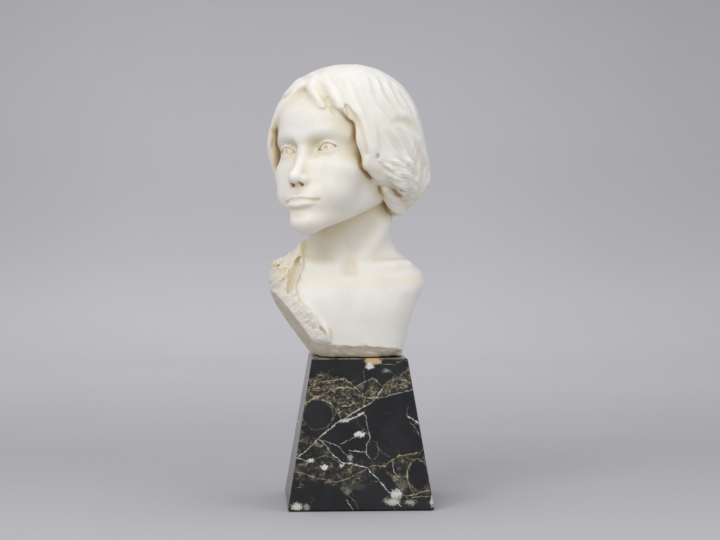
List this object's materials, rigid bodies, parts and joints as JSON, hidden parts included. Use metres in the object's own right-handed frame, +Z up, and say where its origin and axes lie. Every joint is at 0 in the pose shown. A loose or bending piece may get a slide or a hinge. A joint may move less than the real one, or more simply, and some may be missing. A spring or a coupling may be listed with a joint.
{
  "type": "marble bust on plinth",
  "caption": "Carved marble bust of a head turned to its right on a bare chest, set on a tapered black veined stone plinth and held by one central rod.",
  "frame": {"origin": "centre of the felt's underside, on the rod's axis", "axes": "+Z up along the rod; the bust's chest and the plinth's front face look towards -Y"},
  "size_m": [0.1674, 0.1672, 0.4477],
  "materials": {
    "bust_marble": "fine honed white statuary marble",
    "plinth_marble": "polished black with gold and white veins",
    "rod_steel": "zinc plated",
    "grout": "matt setting plaster",
    "bedding_rubber": "matt",
    "washer_steel": "zinc plated",
    "nut_steel": "zinc plated",
    "felt": "green wool felt"
  },
  "bodies": {
    "plinth_body": {"plinth": "plinth_marble", "base_felt": "felt"},
    "bust_body": {"bust": "bust_marble", "fixing_rod": "rod_steel", "rod_grout": "grout", "bedding_washer": "bedding_rubber", "clamp_washer": "washer_steel", "clamp_nut": "nut_steel", "lock_nut": "nut_steel"}
  },
  "joints": [
    {"name": "bust_turn", "type": "hinge", "parent": "plinth_body", "child": "bust_body", "pos_m": [0, 0, 0.15], "axis": [0, 0, 1], "continuous": true}
  ]
}
